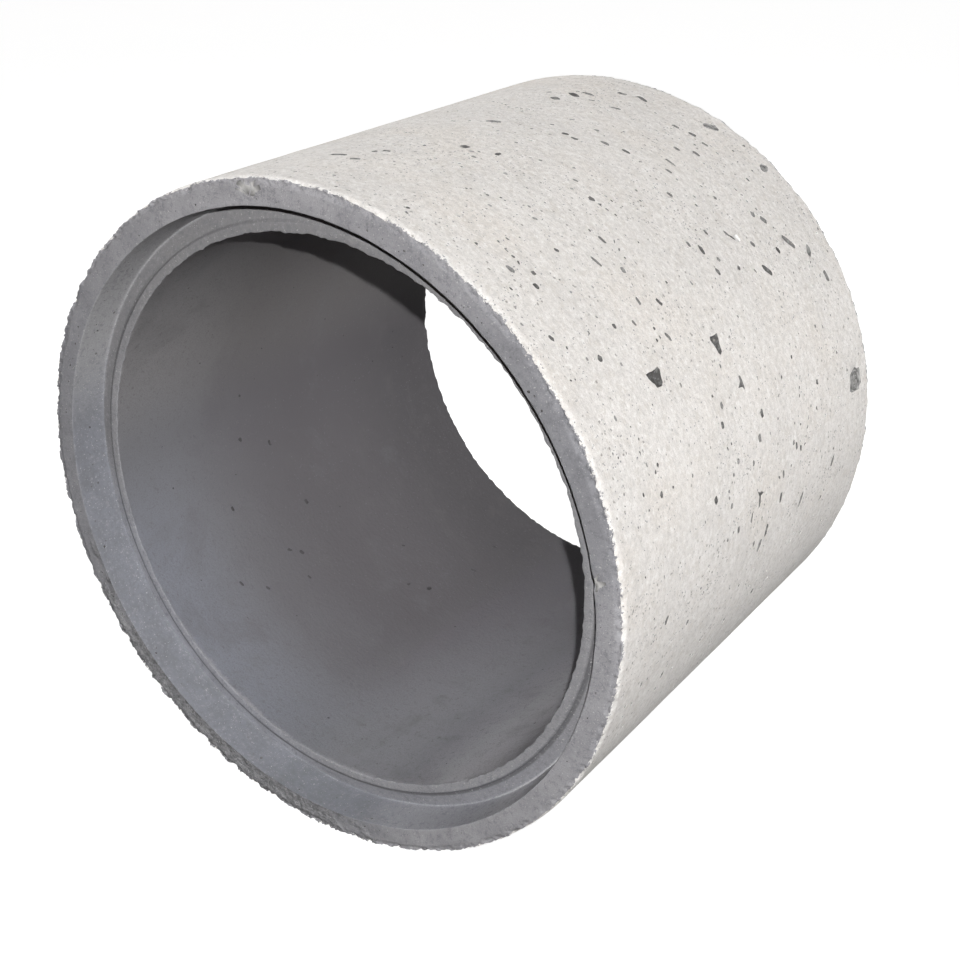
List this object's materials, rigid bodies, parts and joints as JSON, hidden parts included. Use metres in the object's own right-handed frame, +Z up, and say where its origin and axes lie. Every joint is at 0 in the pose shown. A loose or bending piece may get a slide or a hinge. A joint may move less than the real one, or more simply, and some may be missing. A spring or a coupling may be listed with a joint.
{
  "type": "precast manhole ring",
  "caption": "Precast concrete manhole ring lying on its side: a thick round wall with an open bore, a rebated socket at one end and a matching spigot at the other.",
  "frame": {"origin": "on the ground, below the middle of the ring's overall length", "axes": "+Y along the ring's axis from the socket end to the spigot end, +Z up, +X to the right when looking into the socket"},
  "size_m": [1.2, 1.039, 1.1996],
  "materials": {
    "concrete": "matte"
  },
  "bodies": {
    "root": {"manhole_ring": "concrete"}
  },
  "joints": []
}
